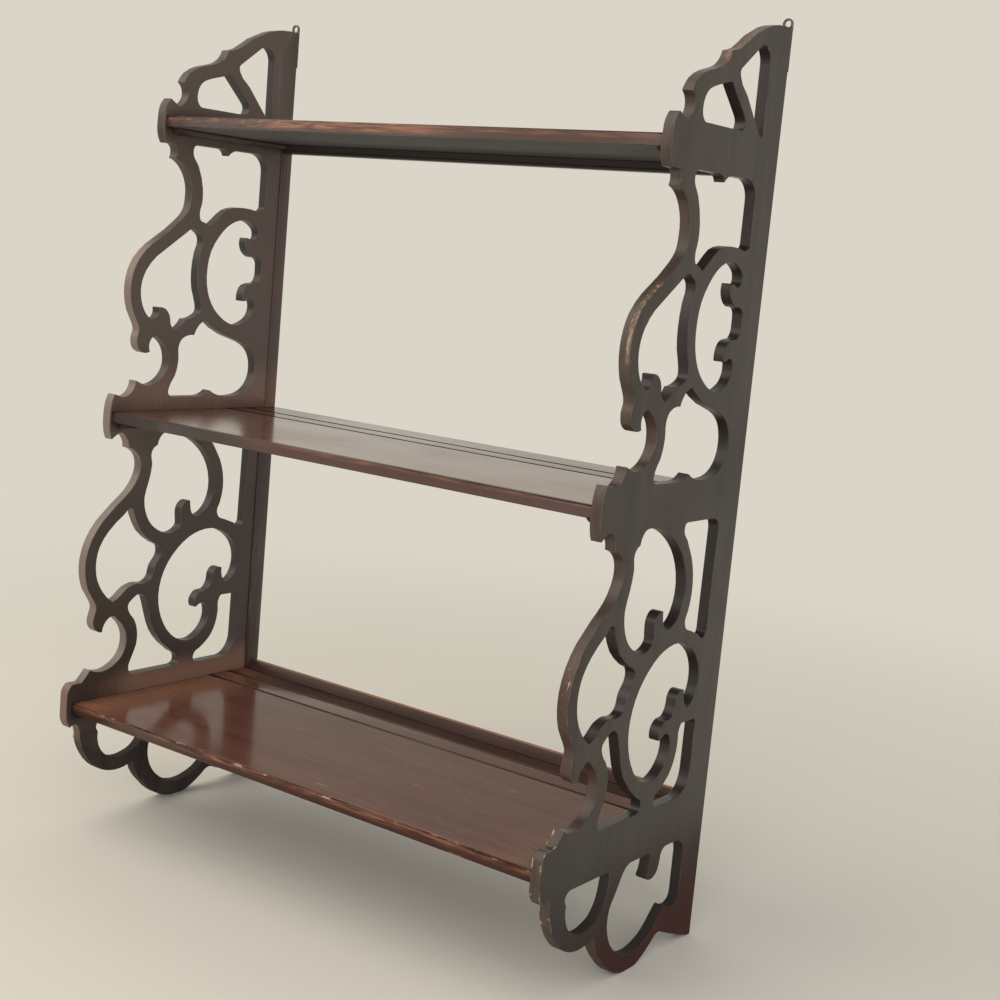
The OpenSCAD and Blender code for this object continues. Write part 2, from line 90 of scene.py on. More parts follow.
def millimetres(tree, grain):
    """The place on the piece in millimetres, and the same turned so that the grain runs along X."""
    place = add(tree, "ShaderNodeTexCoord").outputs["Object"]
    mm = add(tree, "ShaderNodeVectorMath", {0: place, 1: (1000, 1000, 1000)}, operation="MULTIPLY")
    turn = {"X": (0, 0, 0), "Y": (0, 0, math.radians(-90)), "Z": (0, math.radians(90), 0)}[grain]
    along = add(tree, "ShaderNodeMapping", {"Vector": mm, "Rotation": turn})
    return mm.outputs[0], along.outputs[0]


def streaks(tree, along, size, low, high, detail=2.0, seed=0.0, warp=0.0):
    """A mask of soft marks about size millimetres long, wide and deep, which grow from low to high."""
    scaled = add(tree, "ShaderNodeVectorMath", {0: along, 1: size}, operation="DIVIDE")
    shifted = add(tree, "ShaderNodeVectorMath", {0: scaled, 1: (seed, seed * 1.7, seed * 0.6)})
    noise = add(tree, "ShaderNodeTexNoise", {
        "Vector": shifted, "Scale": 1.0, "Detail": detail, "Roughness": 0.55, "Distortion": warp})
    return add(tree, "ShaderNodeMapRange", {
        "Value": noise, "From Min": low, "From Max": high}, interpolation_type="SMOOTHSTEP").outputs[0]


def spots(tree, mm, boxes, *patterns):
    """One mask over several boxes in millimetres, each with its fade and strength.

    The fade is one distance for all three directions or one for each. The patterns break it up.
    """
    whole = None
    for low, high, soft, strength in boxes:
        soft = soft if isinstance(soft, tuple) else (soft, soft, soft)
        centre = [(a + b) / 2 for a, b in zip(low, high)]
        half = [(b - a) / 2 for a, b in zip(low, high)]
        off = add(tree, "ShaderNodeVectorMath", {0: mm, 1: centre}, operation="SUBTRACT")
        off = add(tree, "ShaderNodeVectorMath", {0: off}, operation="ABSOLUTE")
        off = add(tree, "ShaderNodeVectorMath", {0: off, 1: half}, operation="SUBTRACT")
        off = add(tree, "ShaderNodeVectorMath", {0: off, 1: (0, 0, 0)}, operation="MAXIMUM")
        off = add(tree, "ShaderNodeVectorMath", {0: off, 1: soft}, operation="DIVIDE")
        far = add(tree, "ShaderNodeVectorMath", {0: off}, operation="LENGTH").outputs["Value"]
        spot = add(tree, "ShaderNodeMapRange", {
            "Value": far, "From Min": 0.0, "From Max": 1.0, "To Min": strength, "To Max": 0.0},
            interpolation_type="SMOOTHSTEP").outputs[0]
        whole = add(tree, "ShaderNodeMath", {0: whole, 1: spot}, operation="MAXIMUM") if whole else spot
    for pattern in patterns:
        whole = add(tree, "ShaderNodeMath", {0: whole, 1: pattern}, operation="MULTIPLY")
    return whole


def glaze(tree, under, tone, *masks):
    """A tone laid over a colour as far as all the masks let it."""
    amount = masks[0]
    for mask in masks[1:]:
        amount = add(tree, "ShaderNodeMath", {0: amount, 1: mask}, operation="MULTIPLY")
    return add(tree, "ShaderNodeMix", {0: amount, 6: under, 7: linear(tone)}, data_type="RGBA")


# Finishes.

def mahogany(name, grain, tones, polish, sawn=None, tones_and_painted_light=(), rubbed=(), bare_and_glints=(), painted_shade=(),
             scratched=(), chips=(), matt=()):
    """Polished mahogany: a dark red-brown with fine straight grain under a thin shellac gloss.

    The tones are its darkest, middle and lightest colour and that of the wood where it is worn through.
    The polish is its roughness, its specular level and how much clear coat lies on it. Sawn gives
    the tones of the fretwork's outer walls, partly their own and partly painted light, and the
    painted shade of the walls inside its openings.
    All the rest are boxes in millimetres, each with the distance over which it fades and its
    strength, in order: other tones, some the wood's own and some painted light and shade; its
    rubbed thin arrises; its worn patches, which on the strips are painted highlights instead;
    painted shade in corners and recesses; its scratches; the pale nicks in its edges; and the
    faces that were never rubbed up, left matt.
    """
    dark, middle, light, worn = tones
    rough, specular, coat = polish
    material, tree = new_material(name)
    mm, along = millimetres(tree, grain)

    # Growth figure 16 mm wide and 260 mm long, fibres 0.9 mm wide, and pores drawn 0.6 mm wide,
    # three times their real width, so that they show at all.
    figure = streaks(tree, along, (260, 16, 16), 0.25, 0.65, detail=3, warp=0.6)
    fibre = streaks(tree, along, (55, 0.9, 0.9), 0.4, 0.85, seed=3.1)
    pore = streaks(tree, along, (8, 0.6, 0.6), 0.62, 0.74, detail=1, seed=7.7)
    cloud = streaks(tree, along, (90, 60, 60), 0.35, 0.75, seed=5.3)
    colour = glaze(tree, linear(dark), middle, figure)
    colour = glaze(tree, colour, light, fibre, 0.5)
    colour = glaze(tree, colour, dark, cloud, 0.4)
    colour = glaze(tree, colour, dark, pore, 0.5)

    # Sawn walls drink the stain and show brown outside, partly their own tone and partly painted light; the near
    # black inside the openings is painted shade.
    if sawn:
        walls = add(tree, "ShaderNodeAttribute", attribute_name="sawn").outputs["Fac"]
        inside = add(tree, "ShaderNodeAttribute", attribute_name="sheltered").outputs["Fac"]
        uneven = streaks(tree, along, (30, 9, 9), 0.3, 0.7, seed=8.8)
        colour = glaze(tree, colour, sawn[0], walls, 0.85)
        colour = glaze(tree, colour, dark, walls, uneven, 0.5)
        colour = glaze(tree, colour, sawn[1], inside, 0.9)
    # Other tones laid on, some the wood's own and some painted light and shade.
    for low, high, soft, strength, tone in tones_and_painted_light:
        colour = glaze(tree, colour, tone, spots(tree, mm, [(low, high, soft, strength)]))
    # Painted shade, near black, in corners and recesses.
    if painted_shade:
        colour = glaze(tree, colour, "#1a1311", spots(tree, mm, painted_shade))

    # Arrises rubbed by hands and dusters: the polish is thin there and the wood shows lighter.
    arris = add(tree, "ShaderNodeAttribute", attribute_name="arris").outputs["Fac"]
    broken = streaks(tree, along, (22, 6, 6), 0.4, 0.64, detail=3, seed=11.0)
    flecks = streaks(tree, along, (30, 1.8, 1.8), 0.36, 0.7, detail=5, seed=2.2)
    areas = streaks(tree, along, (110, 45, 45), 0.2, 0.55, seed=6.6)
    wear = add(tree, "ShaderNodeMath", {
        0: add(tree, "ShaderNodeMath", {0: arris, 1: broken}, operation="MULTIPLY"), 1: 0.3},
        operation="MULTIPLY")
    for boxes, patterns in ((rubbed, (arris, broken)), (bare_and_glints, (flecks, areas))):
        if boxes:
            wear = add(tree, "ShaderNodeMath", {
                0: wear, 1: spots(tree, mm, boxes, *patterns)}, operation="MAXIMUM")
    bare_wood = glaze(tree, linear(worn), middle, fibre, 0.6)
    colour = add(tree, "ShaderNodeMix", {0: wear, 6: colour, 7: bare_wood}, data_type="RGBA")

    # Straight scratches along the grain, 34 mm long, drawn 1.5 mm wide as they show.
    if scratched:
        lines = streaks(tree, along, (34, 1.5, 60), 0.69, 0.76, detail=1, seed=9.4)
        gathered = streaks(tree, along, (130, 50, 60), 0.42, 0.58, detail=1, seed=1.2)
        scratch = spots(tree, mm, scratched, lines, gathered)
        colour = glaze(tree, colour, "#a47b61", scratch)
        wear = add(tree, "ShaderNodeMath", {0: wear, 1: scratch}, operation="MAXIMUM")

    # Pale chips, up to 11 mm long and 3.5 mm wide, knocked out of the arrises.
    if chips:
        nicks = streaks(tree, along, (11, 3.5, 3.5), 0.57, 0.63, detail=4, seed=15.0)
        colour = glaze(tree, colour, "#b5a08c", spots(tree, mm, chips, nicks))

    roughness = add(tree, "ShaderNodeMath", {0: cloud, 1: 0.08, 2: rough}, operation="MULTIPLY_ADD")
    duller = [(wear, 0.25), (pore, 0.12)] + ([(spots(tree, mm, matt), 0.55)] if matt else [])
    for mask, more in duller:
        roughness = add(tree, "ShaderNodeMath", {
            0: mask, 1: more, 2: roughness}, operation="MULTIPLY_ADD")

    # The polish sinks about 0.03 mm into the pores and follows the fibres faintly.
    sunk = add(tree, "ShaderNodeBump", {
        "Strength": 0.5, "Distance": 0.03 * MM, "Height": pore}, invert=True)
    ripple = add(tree, "ShaderNodeBump", {
        "Strength": 0.3, "Distance": 0.02 * MM, "Height": fibre, "Normal": sunk})
    shader = add(tree, "ShaderNodeBsdfPrincipled", {
        "Base Color": colour, "Roughness": roughness, "Normal": ripple,
        "IOR": 1.5, "Specular IOR Level": specular, "Coat Weight": coat, "Coat Roughness": 0.1})
    add(tree, "ShaderNodeOutputMaterial", {"Surface": shader})
    return material


def dull_metal(name, tones, rough):
    """Aged uncoated metal: dull, tarnished brown in blotches, and brighter on its rounded edges, where it is
    handled.
    """
    material, tree = new_material(name)
    mm, along = millimetres(tree, "Z")
    # Tarnish in blotches 2.5 mm across, file marks 0.2 mm apart drawn at 0.4 mm.
    blotch = streaks(tree, along, (2.5, 2.5, 2.5), 0.35, 0.65, detail=3, seed=4.0)
    marks = streaks(tree, along, (6, 0.4, 0.4), 0.0, 1.0, detail=1, seed=8.0)
    arris = add(tree, "ShaderNodeAttribute", attribute_name="arris").outputs["Fac"]
    colour = glaze(tree, linear(tones[0]), tones[1], blotch)
    colour = glaze(tree, colour, tones[2], arris, 0.6)
    roughness = add(tree, "ShaderNodeMath", {
        0: blotch, 1: -0.15, 2: rough + 0.15}, operation="MULTIPLY_ADD")
    bump = add(tree, "ShaderNodeBump", {"Strength": 0.4, "Distance": 0.03 * MM, "Height": marks})
    shader = add(tree, "ShaderNodeBsdfPrincipled", {
        "Base Color": colour, "Metallic": 1.0, "Roughness": roughness, "Normal": bump})
    add(tree, "ShaderNodeOutputMaterial", {"Surface": shader})
    return material


# Wooden pieces.

# Points nearer than this are one, and points nearer a plane than the next lie on it.
MERGED = 0.001 * MM
ON_PLANE = 0.003 * MM
# Edges sharper and longer than these are rounded.
SHARP = math.radians(40)
SHORTEST = 0.25 * MM


def flat_face_filled(shape, x, outward):
    """Fills the flat face of a fretted side at x, openings and all, inside its rounded rims."""
    on_face = [f for f in shape.faces if all(abs(v.co.x - x) < ON_PLANE for v in f.verts)]
    bmesh.ops.delete(shape, geom=on_face, context="FACES_ONLY")
    bmesh.ops.delete(shape, geom=[e for e in shape.edges if not e.link_faces], context="EDGES")
    rim = [e for e in shape.edges
           if len(e.link_faces) == 1 and all(abs(v.co.x - x) < ON_PLANE for v in e.verts)]
    verts = list({v: None for e in rim for v in e.verts})
    place = {v: i for i, v in enumerate(verts)}
    spots, lines, faces, old_spots, old_lines, _ = delaunay_2d_cdt(
        [v.co.yz for v in verts], [tuple(place[v] for v in e.verts) for e in rim], [], 0, 1e-8)
    kept = [verts[old[0]] if old else shape.verts.new((x, *spot)) for spot, old in zip(spots, old_spots)]

    # Wood lies on one side of every rim and air on the other, starting with air outside the outline.
    rims = {frozenset(line) for line, old in zip(lines, old_lines) if old}
    beside = {}
    for i, face in enumerate(faces):
        for j, corner in enumerate(face):
            beside.setdefault(frozenset((corner, face[j - 1])), []).append(i)
    wood = {}
    grow = []
    for edge, sharers in beside.items():
        if len(sharers) == 1:
            grow.append((sharers[0], edge in rims))
    while grow:
        i, is_wood = grow.pop()
        if i in wood:
            continue
        wood[i] = is_wood
        for j, corner in enumerate(faces[i]):
            edge = frozenset((corner, faces[i][j - 1]))
            for other in beside[edge]:
                if other not in wood:
                    grow.append((other, is_wood != (edge in rims)))
    for i, face in enumerate(faces):
        if wood.get(i):
            made = shape.faces.new([kept[c] for c in face])
            made.normal_update()
            if made.normal.x * outward < 0:
                made.normal_flip()
            made.smooth = True


def mark_walls(mesh):
    """Marks a fretted side's sawn walls, and among them those inside its openings."""
    shape = bmesh.new()
    shape.from_mesh(mesh)
    left = {f for f in shape.faces if abs(f.normal.x) < 0.6}
    rings = []
    while left:
        ring, grow = [], [left.pop()]
        while grow:
            face = grow.pop()
            ring.append(face.index)
            for edge in face.edges:
                for other in edge.link_faces:
                    if other in left:
                        left.discard(other)
                        grow.append(other)
        rings.append(ring)
    shape.free()
    sawn, sheltered = [0.0] * len(mesh.polygons), [0.0] * len(mesh.polygons)
    outline = max(rings, key=len)
    for ring in rings:
        for i in ring:
            sawn[i] = 1.0
            sheltered[i] = 0.0 if ring is outline else 1.0
    for name, marks in (("sawn", sawn), ("sheltered", sheltered)):
        mesh.attributes.new(name, "FLOAT", "FACE").data.foreach_set("value", marks)


def softened(node, arris_mm, material, fretted=False):
    """A piece on its CAD node, with its arrises rounded by arris_mm and marked for wear."""
    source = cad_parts[node]
    mesh = source.data.copy()
    mesh.materials.clear()
    shape = bmesh.new()
    shape.from_mesh(mesh)
    bmesh.ops.remove_doubles(shape, verts=shape.verts, dist=MERGED)
    bmesh.ops.dissolve_limit(shape, angle_limit=math.radians(0.5), verts=shape.verts,
                             edges=shape.edges, delimit={"NORMAL"})
    weight = shape.edges.layers.float.new("bevel_weight_edge")
    low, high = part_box(node)
    for edge in shape.edges:
        # Pin and screw holes keep their edges, and so does what is hidden in or against the sides.
        sharp = edge.is_manifold and edge.calc_face_angle() > SHARP
        ends = [v.co.x / MM for v in edge.verts]
        in_housing = "shelf" in node and (min(ends) > inner or max(ends) < -inner)
        at_side = node == "bottom_back_rail" and abs(sum(ends)) > 2 * inner - 0.1
        if sharp and edge.calc_length() > SHORTEST and not (in_housing or at_side):
            edge[weight] = 1.0
        if edge[weight] and ("shelf" in node or node == "bottom_back_rail"):
            # Where a face is too narrow for two full roundings, they share it.
            narrowest = min(face.calc_area() for face in edge.link_faces) / edge.calc_length()
            edge[weight] = min(1.0, 0.45 * narrowest / (arris_mm * MM))
        if "shelf" in node and edge[weight]:
            # Plates have worn the grooves' lips wide, and their floors stay sharp.
            centre = sum((v.co for v in edge.verts), Vector()) / 2
            beside = min(abs(centre.y / MM - groove) for groove in plate_grooves)
            on_lip = centre.z > high.z - 0.5 * MM
            in_groove = 1.0 if on_lip else 0.3
            edge[weight] = in_groove if beside < 2 else min(0.6, edge[weight])
        if fretted and edge[weight]:
            # Walls that stop short of the full board, as in a housing, keep their edges.
            for face in edge.link_faces:
                reach = [v.co.x for v in face.verts]
                if abs(face.normal.x) < 0.5 and max(reach) - min(reach) < side_t * 0.98 * MM:
                    edge[weight] = 0.0
    for face in shape.faces:
        face.smooth = True
        face.material_index = 0
    shape.to_mesh(mesh)
    shape.free()
    mesh.materials.append(material)
    mesh.materials.append(material)
    blank = bpy.data.objects.new(node + "_blank", mesh)
    bpy.context.scene.collection.objects.link(blank)
    round_over = blank.modifiers.new("arris", "BEVEL")
    round_over.width = arris_mm * MM
    round_over.segments = 2
    round_over.limit_method = "WEIGHT"
    round_over.use_clamp_overlap = False
    round_over.loop_slide = False
    round_over.miter_outer = "MITER_ARC"
    round_over.material = 1
    seen = blank.evaluated_get(bpy.context.evaluated_depsgraph_get())
    finished = bpy.data.meshes.new_from_object(seen)
    bpy.data.objects.remove(blank)
    if fretted:
        shape = bmesh.new()
        shape.from_mesh(finished)
        flat_face_filled(shape, low.x, -1)
        flat_face_filled(shape, high.x, 1)
        shape.to_mesh(finished)
        shape.free()

    # The middle row of each rounded arris counts as fully worn, and its two borders as not.
    flat = [False] * len(finished.vertices)
    for face in finished.polygons:
        if face.material_index == 0:
            for corner in face.vertices:
                flat[corner] = True
    arris = finished.attributes.new("arris", "FLOAT", "POINT")
    arris.data.foreach_set("value", [0.0 if f else 1.0 for f in flat])
    finished.polygons.foreach_set("material_index", [0] * len(finished.polygons))
    finished.materials.pop(index=1)
    if "shelf" in node:
        # The grooves' walls and rounded edges take the groove paint: painted shade on the middle and top shelves,
        # painted light on the bottom shelf.
        finished.materials.append(groove_paints[node])
        for face in finished.polygons:
            beside = min(abs(face.center.y / MM - groove) for groove in plate_grooves)
            if beside < 3.2 and high.z - 2 * MM < face.center.z < high.z - 0.005 * MM:
                face.material_index = 1
    finished.name = node + "_wood"
    if fretted:
        mark_walls(finished)

    piece = bpy.data.objects.new(node + "_finished", finished)
    bpy.context.scene.collection.objects.link(piece)
    # Smooth shading for the rounded rims, weighted so that the flat faces stay flat.
    level = piece.modifiers.new("level", "WEIGHTED_NORMAL")
    level.keep_sharp = True
    seen = piece.evaluated_get(bpy.context.evaluated_depsgraph_get())
    piece.data = bpy.data.meshes.new_from_object(seen)
    piece.modifiers.clear()
    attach(piece, "root")
    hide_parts(node)
    return piece


def solids_of(node):
    """The lowest and highest corner of each separate solid of a node."""
    shape = bmesh.new()
    shape.from_mesh(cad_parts[node].data)
    bmesh.ops.remove_doubles(shape, verts=shape.verts, dist=MERGED)
    left = set(shape.verts)
    boxes = []
    while left:
        group, grow = [], [left.pop()]
        while grow:
            vert = grow.pop()
            group.append(vert.co.copy())
            for edge in vert.link_edges:
                other = edge.other_vert(vert)
                if other in left:
                    left.discard(other)
                    grow.append(other)
        boxes.append((Vector(map(min, *group)), Vector(map(max, *group))))
    shape.free()
    return sorted(boxes, key=lambda b: tuple(round(c, 5) for c in b[0]))


# Sizes read from the frame.

def mm_box(node):
    """A node's lowest and highest corner in millimetres."""
    low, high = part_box(node)
    return [c * 1000 for c in low], [c * 1000 for c in high]


bottom_lo, bottom_hi = mm_box("bottom_shelf")
middle_lo, middle_hi = mm_box("middle_shelf")
top_lo, top_hi = mm_box("top_shelf")
side_lo, side_hi = mm_box("right_side")
low_rail_lo, low_rail_hi = mm_box("bottom_back_rail")
inner, side_t = side_lo[0], side_hi[0] - side_lo[0]

# Each shelf's front edge, upper face and underside, and the edges of the low rail.
bottom_front, bottom_face, bottom_under = bottom_lo[1], bottom_hi[2], bottom_lo[2]
middle_front, middle_face, middle_under = middle_lo[1], middle_hi[2], middle_lo[2]
top_front, top_face, top_under = top_lo[1], top_hi[2], top_lo[2]
shelf_back = middle_hi[1]
low_rail_front, low_rail_back, low_rail_top = low_rail_lo[1], low_rail_hi[1], low_rail_hi[2]
side_front, side_top = side_lo[1], side_hi[2]

# A distance in millimetres that lies past the rack on either side.
PAST = 300

# Shelves: straight grain along their length, with worn front edges.
SHELF_TONES = ("#54342a", "#664034", "#785144", "#9b6c53")

# The plate grooves are painted: near-black painted shade on the middle and top shelves, and on the bottom shelf a
# paler tone that paints light into the grooves' shade.
plate_grooves = [shelf_back - back for back in (40, 66)]
groove_shade_paint = mahogany(
    "painted_shade_in_plate_grooves", "X", ("#15100e", "#1d1613", "#261d19", "#33271f"), (0.8, 0.03, 0.0))
groove_light_paint = mahogany(
    "painted_light_in_bottom_plate_grooves", "X", ("#5c473b", "#6b5447", "#7a6253", "#8a6f5e"), (0.8, 0.03, 0.0))
groove_paints = {"bottom_shelf": groove_light_paint, "middle_shelf": groove_shade_paint, "top_shelf": groove_shade_paint}


def shelf_finish(name, low, high, polish, rub, scratched, bare_and_glints, chips=(), tones_and_painted_light=(), painted_shade=(),
                 matt=()):
    """The polish of one shelf, rubbed up on top and left flat underneath, with painted shade on its underside and
    where its upper face meets the sides.
    """
    front, top = low[1], high[2]
    beneath = ((-inner, front + 1.5, low[2] - 1), (inner, high[1], low[2] + 0.5), 1)
    return mahogany(
        name, "X", SHELF_TONES, polish,
        # The dark tone under the shelf is painted shade.
        tones_and_painted_light=[(*beneath, 0.85, "#1c1715"), *tones_and_painted_light],
        rubbed=[((-inner, front - 2, low[2] - 1), (inner, front + 3, top + 1), 2, rub)],
        bare_and_glints=bare_and_glints,
        # Painted shade along both ends of the upper face, against the sides.
        painted_shade=[
            ((-inner - 2, front, top - 1), (-inner + 0.6, high[1], top + 1), 2.5, 0.6),
            ((inner - 0.6, front, top - 1), (inner + 2, high[1], top + 1), 2.5, 0.6),
            *painted_shade,
        ],
        scratched=scratched,
        chips=chips,
        matt=[(*beneath, 1.0), *matt],
    )


behind_grooves = ((-inner, shelf_back - 37, bottom_face - 0.2), (inner, shelf_back, bottom_face + 1), 3)
bottom_polish = shelf_finish(
    "mahogany_bottom_shelf_polish", bottom_lo, bottom_hi, (0.12, 0.12, 0.0), 0.5,
    scratched=[((0, bottom_front + 10, bottom_face - 0.3), (inner, 105, bottom_face + 1), 50, 0.7)],
    bare_and_glints=[
        ((-inner, bottom_front - 2, bottom_face - 3), (inner, bottom_front + 1.2, bottom_face + 1),
         4, 0.8),
        ((-inner, bottom_front + 4, bottom_face - 0.3), (-inner + 6, 100, bottom_face + 1), (34, 8, 1),
         0.95),
        ((inner - 6, bottom_front + 4, bottom_face - 0.3), (inner, 100, bottom_face + 1), (60, 8, 1),
         0.7),
    ],
    chips=[((-inner, bottom_front - 1, bottom_face - 1.5), (inner, bottom_front + 1, bottom_face + 1),
            0.6, 0.8)],
    tones_and_painted_light=[
        ((-inner, bottom_front - 1, bottom_under), (inner, bottom_front + 1, bottom_face - 1),
         1.5, 0.85, "#3b2620"),
        ((-inner, bottom_front + 4, bottom_face - 0.3), (-inner + 10, 100, bottom_face + 1), (70, 30, 1),
         0.65, "#93684f"),
    ],
    # Painted shade on the strip behind the grooves, under the middle shelf.
    painted_shade=[(*behind_grooves, 0.6)],
    matt=[(*behind_grooves, 1.0)],
)
middle_polish = shelf_finish(
    "mahogany_middle_shelf_polish", middle_lo, middle_hi, (0.16, 0.5, 0.3), 0.2,
    scratched=[((-inner, middle_front + 8, middle_face - 0.3), (inner, shelf_back, middle_face + 1),
                20, 0.2)],
    bare_and_glints=[((-60, middle_front - 2, middle_face - 2), (inner, middle_front + 1.2, middle_face + 1),
           (60, 2, 2), 0.5)],
    tones_and_painted_light=[
        ((-inner, middle_front - 1, middle_under), (inner, middle_front + 3, middle_face + 1),
         2, 0.85, "#41271f"),
        ((-inner, middle_front - 1, middle_under), (-150, middle_front + 3, middle_face + 1), (90, 2, 2),
         0.9, "#2b1e19"),
    ],
    matt=[((-inner, middle_front - 1, middle_under), (inner, middle_front + 3, middle_face + 1),
           4, 0.8)],
)
top_polish = shelf_finish(
    "mahogany_top_shelf_polish", top_lo, top_hi, (0.24, 0.4, 0.0), 0.25,
    scratched=[((-inner, top_front + 8, top_face - 0.3), (inner, shelf_back, top_face + 1), 20, 0.2)],
    bare_and_glints=[
        ((-inner, top_front - 2, top_face - 3), (inner, top_front + 1.2, top_face + 1), 3, 0.5),
        ((-130, top_front - 2, top_face - 6), (30, top_front + 1.2, top_face + 1), (70, 3, 3), 1.0),
    ],
    chips=[((-inner, top_front - 1, top_face - 4), (-80, top_front + 1, top_face + 1), (40, 1, 1),
            0.25)],
    tones_and_painted_light=[
        ((-inner, top_front - 1, top_under), (inner, top_front + 2, top_face), 2, 0.8, "#574239"),
        # Painted shade makes the underside grey, with a lighter painted reflection over its front 70 mm.
        ((-inner, top_front + 3, top_under - 1), (inner, shelf_back, top_under + 0.5),
         1, 0.85, "#2c2b2c"),
        ((-inner, top_front + 3, top_under - 1), (inner, top_front + 70, top_under + 0.5), (1, 60, 1),
         0.85, "#504f4e"),
        ((120, top_front - 1, top_under), (inner, top_front + 2, top_face), (90, 2, 2),
         0.65, "#4a3a33"),
        ((-inner, top_front - 1, top_under), (-170, top_front + 2, top_face), (60, 2, 2),
         0.65, "#46393a"),
    ],
)

# Sides: the grain runs upright, and an older, duller polish gives a soft grey sheen. On their
# walls the wear keeps to the outer arris, where hands reach.
wall = (inner + 0.7, side_hi[0] - 0.7)
sides_polish = mahogany(
    "mahogany_fretted_sides_polish", "Z", ("#28211d", "#38302b", "#483d36", "#93705a"), (0.34, 0.42, 0.0),
    # The second tone, near black inside the openings, is painted shade; the first is partly painted light.
    sawn=("#4d3f36", "#262120"),
    tones_and_painted_light=[
        ((wall[1] + 0.4, 20, -5), (PAST, 130, 50), (0.3, 90, 90), 0.9, "#3a150f"),
        ((wall[1] + 0.4, -130, -5), (PAST, 20, 20), (0.3, 60, 60), 0.85, "#351510"),
        # Painted shade darkens the foot of the left side.
        ((-PAST, -130, -5), (-wall[0], 130, 40), (0.5, 60, 60), 0.6, "#2a2321"),
        # Painted light lifts the inner faces of both sides, with less of it between 150 and 300 mm.
        ((-inner - 0.3, -130, 90), (inner + 0.3, 130, 790), (0.5, 1, 1), 0.75, "#5f5047"),
        ((-inner - 0.3, -130, 150), (inner + 0.3, 130, 300), (0.5, 60, 60), 0.75, "#3a2e28"),
        # Paler bands just above the middle and bottom shelves: partly rubbed wood, partly painted light.
        ((-inner - 0.3, -50, 396), (inner + 0.3, 130, 420), (0.5, 50, 30), 0.6, "#81675a"),
        ((-inner - 0.3, -60, 90), (inner + 0.3, 130, 125), (0.5, 60, 30), 0.65, "#9a7460"),
        ((-inner - 0.3, -130, 90), (inner + 0.3, -75, 165), (0.5, 35, 30), 0.7, "#332a25"),
        # Painted light on the left side's walls, towards the front.
        ((-wall[1], -130, 150), (-wall[0], -60, 640), (0.5, 20, 20), 0.7, "#85756a"),
        ((wall[1] + 0.4, -130, 70), (PAST, 130, 125), (0.3, 40, 40), 0.45, "#2c2826"),
        ((-wall[1], -130, 85), (-wall[0], -112, 160), (0.5, 10, 10), 0.6, "#86695c"),
        ((wall[0], -130, 170), (wall[1], -90, 260), (0.5, 20, 40), 0.6, "#442c26"),
    ],
    rubbed=[
        ((-PAST, side_front - 1, 70), (PAST, side_front + 40, 165), 8, 0.8),
        ((-PAST, -130, 235), (PAST, -95, 300), 8, 0.7),
        ((-PAST, -95, 505), (PAST, -30, 580), 8, 1.0),
        ((-PAST, 20, 730), (PAST, 85, 790), 10, 1.0),
    ],
    bare_and_glints=[
        ((wall[0] + 4, 22, 735), (wall[1], 72, side_top + 1), (0.5, 6, 6), 1.0),
        ((wall[0] + 5, -98, 505), (wall[1], -38, 575), (0.5, 6, 6), 0.8),
        ((wall[0] + 4, -130, 240), (wall[1], -100, 300), (0.5, 8, 8), 0.2),
        ((-wall[1], -98, 505), (-wall[0] - 5, -38, 575), (0.5, 6, 6), 0.5),
        ((-inner - 0.3, -60, 396), (inner + 0.3, 110, 414), (0.5, 12, 12), 0.45),
        ((-inner - 0.3, -80, 119), (inner + 0.3, 100, 130), (0.5, 12, 12), 0.5),
    ],
    matt=[((-PAST, -130, -5), (PAST, 130, 40), 90, 1.0)],
    chips=[
        ((wall[0] - 0.3, side_front - 1, 75), (wall[0] + 1, side_front + 26, 160), (0.4, 1, 1), 0.8),
        ((wall[1] - 1, side_front - 1, 75), (wall[1], side_front + 26, 160), (0.4, 1, 1), 0.8),
        ((-wall[1], side_front - 1, 75), (-wall[1] + 1, side_front + 26, 160), (0.4, 1, 1), 0.6),
        ((wall[0] + 3, -125, 240), (wall[1], -105, 275), (0.5, 1, 1), 0.6),
        ((wall[0] + 5, -98, 505), (wall[1], -38, 575), (0.5, 2, 2), 0.5),
    ],
)

# Rails, strips and cleats: the same wood, brushed rather than rubbed up.
RAIL_TONES = ("#33211c", "#4a3029", "#5c3f34", "#b07a5a")
rails_polish = mahogany(
    "mahogany_rails_brushed_polish", "X", RAIL_TONES, (0.4, 0.3, 0.0),
    tones_and_painted_light=[
        # Painted shade on the top back rail, under the top shelf.
        ((-PAST, 0, 600), (PAST, 130, 700), 5, 0.85, "#3a3634"),
        ((-PAST, low_rail_back - 4, low_rail_top - 2.5), (PAST, low_rail_back + 1, low_rail_top + 1),
         1.5, 0.9, "#b47a5a"),
    ],
    rubbed=[((-PAST, low_rail_front - 1, low_rail_top - 3), (PAST, low_rail_back + 1, low_rail_top + 1),
             2, 0.6)],
    bare_and_glints=[((-PAST, low_rail_back - 5, low_rail_top - 1.5), (PAST, low_rail_back + 1, low_rail_top + 1),
           0.5, 3.5)],
)
strips_polish = mahogany(
    "mahogany_strips_brushed_polish", "Z", ("#2e1d19", "#422c25", "#543a30", "#8c6f62"), (0.26, 0.5, 0.0),
    tones_and_painted_light=[
        ((-PAST, 0, 200), (PAST, 130, 395), (5, 5, 60), 0.6, "#3d3432"),
        ((-PAST, 0, 396.5), (PAST, 130, 700), (5, 5, 1), 0.85, "#4c3c38"),
        ((-PAST, 0, 396.5), (PAST, 130, 415), (5, 5, 40), 0.6, "#74503f"),
    ],
    # The worn-patch boxes here paint pale highlights along the strips.
    bare_and_glints=[((-PAST, 60, 120), (PAST, 130, 240), 60, 0.25), ((-PAST, 60, 440), (PAST, 130, 640),
           40, 0.12)],
)
